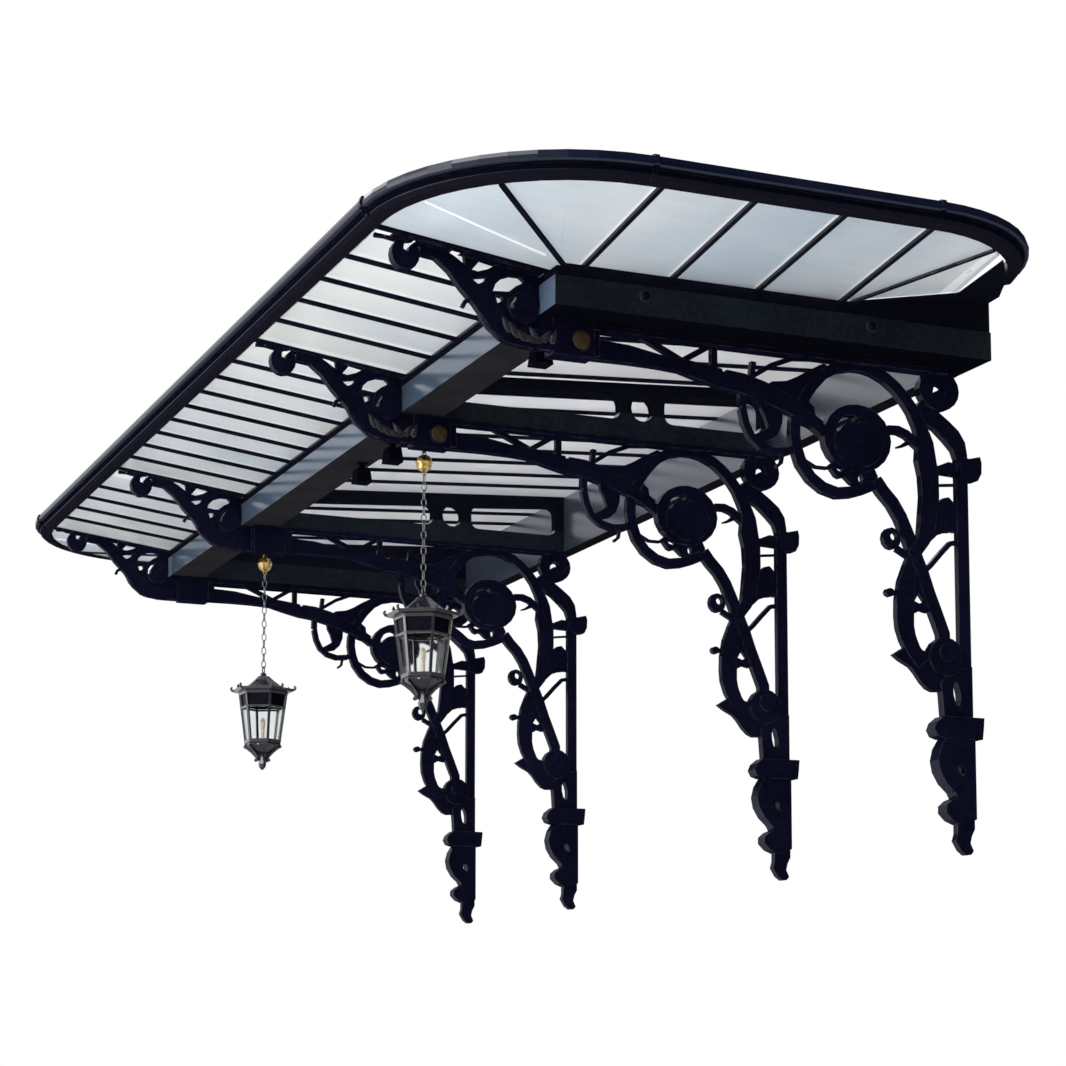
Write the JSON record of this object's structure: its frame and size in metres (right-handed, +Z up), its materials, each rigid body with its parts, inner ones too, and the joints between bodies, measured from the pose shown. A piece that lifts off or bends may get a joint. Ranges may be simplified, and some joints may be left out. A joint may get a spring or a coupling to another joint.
{
  "type": "glass canopy",
  "caption": "Wall canopy of box beams with a sloped glass roof, a glazed apron with rounded corners, scrolled iron consoles and hanging lanterns.",
  "frame": {"origin": "middle of the wall beam's back face, on the wall", "axes": "+X along the wall to the right seen from the street, +Y into the wall, +Z up"},
  "size_m": [8.257, 3.0365, 2.5822],
  "materials": {
    "console_iron": "black gloss paint on cast iron",
    "beam_paint": "black gloss paint",
    "rim_paint": "black gloss paint, worn to grey on its ridges",
    "bar_paint": "black gloss paint",
    "pane_glass": "frosted, weathered glass",
    "lamp_black": "satin black",
    "lantern_iron": "weathered black with bright worn edges",
    "ball_brass": "aged brass",
    "candle_wax": "cream wax"
  },
  "bodies": {
    "canopy": {"closing_plate_left": "beam_paint", "closing_plate_right": "beam_paint", "console_1": "console_iron", "console_2": "console_iron", "console_3": "console_iron", "console_4": "console_iron", "corner_rim_left": "rim_paint", "corner_rim_right": "rim_paint", "cross_girder_left": "beam_paint", "cross_girder_right": "beam_paint", "front_apron_bars": "bar_paint", "front_beam": "beam_paint", "front_glass_left": "pane_glass", "front_glass_middle": "pane_glass", "front_glass_right": "pane_glass", "front_rim": "rim_paint", "front_scroll_1": "console_iron", "front_scroll_2": "console_iron", "front_scroll_3": "console_iron", "front_scroll_4": "console_iron", "front_strap_left": "rim_paint", "front_strap_right": "rim_paint", "rear_rim_left": "rim_paint", "rear_rim_right": "rim_paint", "rear_strap_left": "rim_paint", "rear_strap_right": "rim_paint", "roof_bars": "bar_paint", "roof_glass_left": "pane_glass", "roof_glass_middle": "pane_glass", "roof_glass_right": "pane_glass", "side_apron_bars_left": "bar_paint", "side_apron_bars_right": "bar_paint", "side_beam_left": "beam_paint", "side_beam_right": "beam_paint", "side_glass_left": "pane_glass", "side_glass_right": "pane_glass", "side_rim_left": "rim_paint", "side_rim_right": "rim_paint", "side_strap_left": "rim_paint", "side_strap_right": "rim_paint", "spotlight_1": "lamp_black", "spotlight_2": "lamp_black", "spotlight_3": "lamp_black", "spotlight_4": "lamp_black", "wall_beam": "beam_paint"},
    "hook_ball_1": {"brass_ball_1": "ball_brass"},
    "chain_body_1": {"chain_1": "lantern_iron"},
    "lantern_body_1": {"lantern_roof_1": "lantern_iron", "lantern_cage_1": "lantern_iron", "lantern_glass_1": "pane_glass", "lantern_base_1": "lantern_iron", "candle_1": "candle_wax"},
    "hook_ball_2": {"brass_ball_2": "ball_brass"},
    "chain_body_2": {"chain_2": "lantern_iron"},
    "lantern_body_2": {"lantern_roof_2": "lantern_iron", "lantern_cage_2": "lantern_iron", "lantern_glass_2": "pane_glass", "lantern_base_2": "lantern_iron", "candle_2": "candle_wax"}
  },
  "joints": [
    {"name": "ball_swing_1", "type": "hinge", "parent": "canopy", "child": "hook_ball_1", "pos_m": [-1.35, -1.995, -0.34644], "axis": [1, 0, 0], "range_deg": [-20, 20]},
    {"name": "chain_swing_1", "type": "hinge", "parent": "hook_ball_1", "child": "chain_body_1", "pos_m": [-1.35, -1.995, -0.45915], "axis": [0, 1, 0], "range_deg": [-20, 20]},
    {"name": "lantern_swing_1", "type": "hinge", "parent": "chain_body_1", "child": "lantern_body_1", "pos_m": [-1.35, -1.995, -1.01512], "axis": [0, 1, 0], "range_deg": [-25, 25]},
    {"name": "ball_swing_2", "type": "hinge", "parent": "canopy", "child": "hook_ball_2", "pos_m": [1.35, -1.995, -0.34644], "axis": [1, 0, 0], "range_deg": [-20, 20]},
    {"name": "chain_swing_2", "type": "hinge", "parent": "hook_ball_2", "child": "chain_body_2", "pos_m": [1.35, -1.995, -0.45915], "axis": [0, 1, 0], "range_deg": [-20, 20]},
    {"name": "lantern_swing_2", "type": "hinge", "parent": "chain_body_2", "child": "lantern_body_2", "pos_m": [1.35, -1.995, -1.01512], "axis": [0, 1, 0], "range_deg": [-25, 25]}
  ]
}
